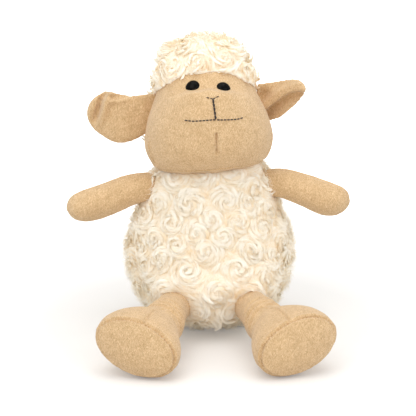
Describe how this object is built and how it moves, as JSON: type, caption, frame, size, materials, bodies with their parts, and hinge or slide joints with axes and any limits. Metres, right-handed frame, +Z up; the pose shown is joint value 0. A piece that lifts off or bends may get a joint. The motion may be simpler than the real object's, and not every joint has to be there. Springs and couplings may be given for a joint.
{
  "type": "plush sheep",
  "caption": "Sitting stuffed toy sheep with a curly wool body and hair cap, a smooth round head with stitched nose and mouth, folded ears, outstretched arms and splayed legs.",
  "frame": {"origin": "centre of the flat seat that the sheep sits on, at floor height", "axes": "+Z up, the sheep faces -Y, its own left is at +X"},
  "size_m": [0.2242, 0.2184, 0.2376],
  "materials": {
    "wool_cloth": "cream curly pile with rosette swirls",
    "short_pile_cloth": "tan short velvety pile",
    "stuffing": "loose polyester fibre",
    "pellet_cloth": "woven bag of pellets",
    "eye": "glossy black",
    "washer": "moulded",
    "thread": "dark brown stitching thread"
  },
  "bodies": {
    "body": {"body_front": "wool_cloth", "body_back": "wool_cloth", "seat_panel": "wool_cloth", "body_stuffing": "stuffing", "pellet_bag": "pellet_cloth"},
    "neck": {"neck_stuffing": "stuffing"},
    "head": {"face_panel": "short_pile_cloth", "chin_gusset": "short_pile_cloth", "hair_cap": "wool_cloth", "head_stuffing": "stuffing", "eye_left": "eye", "eye_right": "eye", "eye_washer_left": "washer", "eye_washer_right": "washer", "nose_thread": "thread", "bridge_thread": "thread", "mouth_thread": "thread"},
    "ear_left": {"ear_left_front": "short_pile_cloth", "ear_left_back": "short_pile_cloth"},
    "ear_right": {"ear_right_front": "short_pile_cloth", "ear_right_back": "short_pile_cloth"},
    "arm_left": {"arm_left_front": "short_pile_cloth", "arm_left_back": "short_pile_cloth", "arm_left_stuffing": "stuffing"},
    "arm_right": {"arm_right_front": "short_pile_cloth", "arm_right_back": "short_pile_cloth", "arm_right_stuffing": "stuffing"},
    "leg_left": {"leg_left_outer": "short_pile_cloth", "leg_left_inner": "short_pile_cloth", "sole_left": "short_pile_cloth", "leg_left_stuffing": "stuffing"},
    "leg_right": {"leg_right_outer": "short_pile_cloth", "leg_right_inner": "short_pile_cloth", "sole_right": "short_pile_cloth", "leg_right_stuffing": "stuffing"}
  },
  "joints": [
    {"name": "head_nod", "type": "hinge", "parent": "body", "child": "neck", "pos_m": [0, 0, 0.105], "axis": [1, 0, 0], "range_deg": [-12, 12], "stiffness_Nm_per_rad": 1},
    {"name": "head_turn", "type": "hinge", "parent": "neck", "child": "head", "pos_m": [0, 0, 0.105], "axis": [0, 0, 1], "range_deg": [-35, 35], "stiffness_Nm_per_rad": 0.5},
    {"name": "ear_left_flap", "type": "hinge", "parent": "head", "child": "ear_left", "pos_m": [0.05112, -0.00017, 0.17438], "axis": [0, 0, 1], "range_deg": [-30, 30], "stiffness_Nm_per_rad": 0.05},
    {"name": "ear_right_flap", "type": "hinge", "parent": "head", "child": "ear_right", "pos_m": [-0.05424, -0.00017, 0.17438], "axis": [0, 0, 1], "range_deg": [-30, 30], "stiffness_Nm_per_rad": 0.05},
    {"name": "arm_left_lift", "type": "hinge", "parent": "body", "child": "arm_left", "pos_m": [0.05182, -0.00984, 0.11586], "axis": [0, 1, 0], "range_deg": [-45, 15], "stiffness_Nm_per_rad": 0.16},
    {"name": "arm_right_lift", "type": "hinge", "parent": "body", "child": "arm_right", "pos_m": [-0.05195, -0.00873, 0.1153], "axis": [0, 1, 0], "range_deg": [-15, 45], "stiffness_Nm_per_rad": 0.16},
    {"name": "leg_left_lift", "type": "hinge", "parent": "body", "child": "leg_left", "pos_m": [0.02496, -0.05675, 0.029], "axis": [1, 0, 0], "range_deg": [-30, 15], "stiffness_Nm_per_rad": 0.5},
    {"name": "leg_right_lift", "type": "hinge", "parent": "body", "child": "leg_right", "pos_m": [-0.02496, -0.05674, 0.029], "axis": [1, 0, 0], "range_deg": [-30, 15], "stiffness_Nm_per_rad": 0.5}
  ]
}
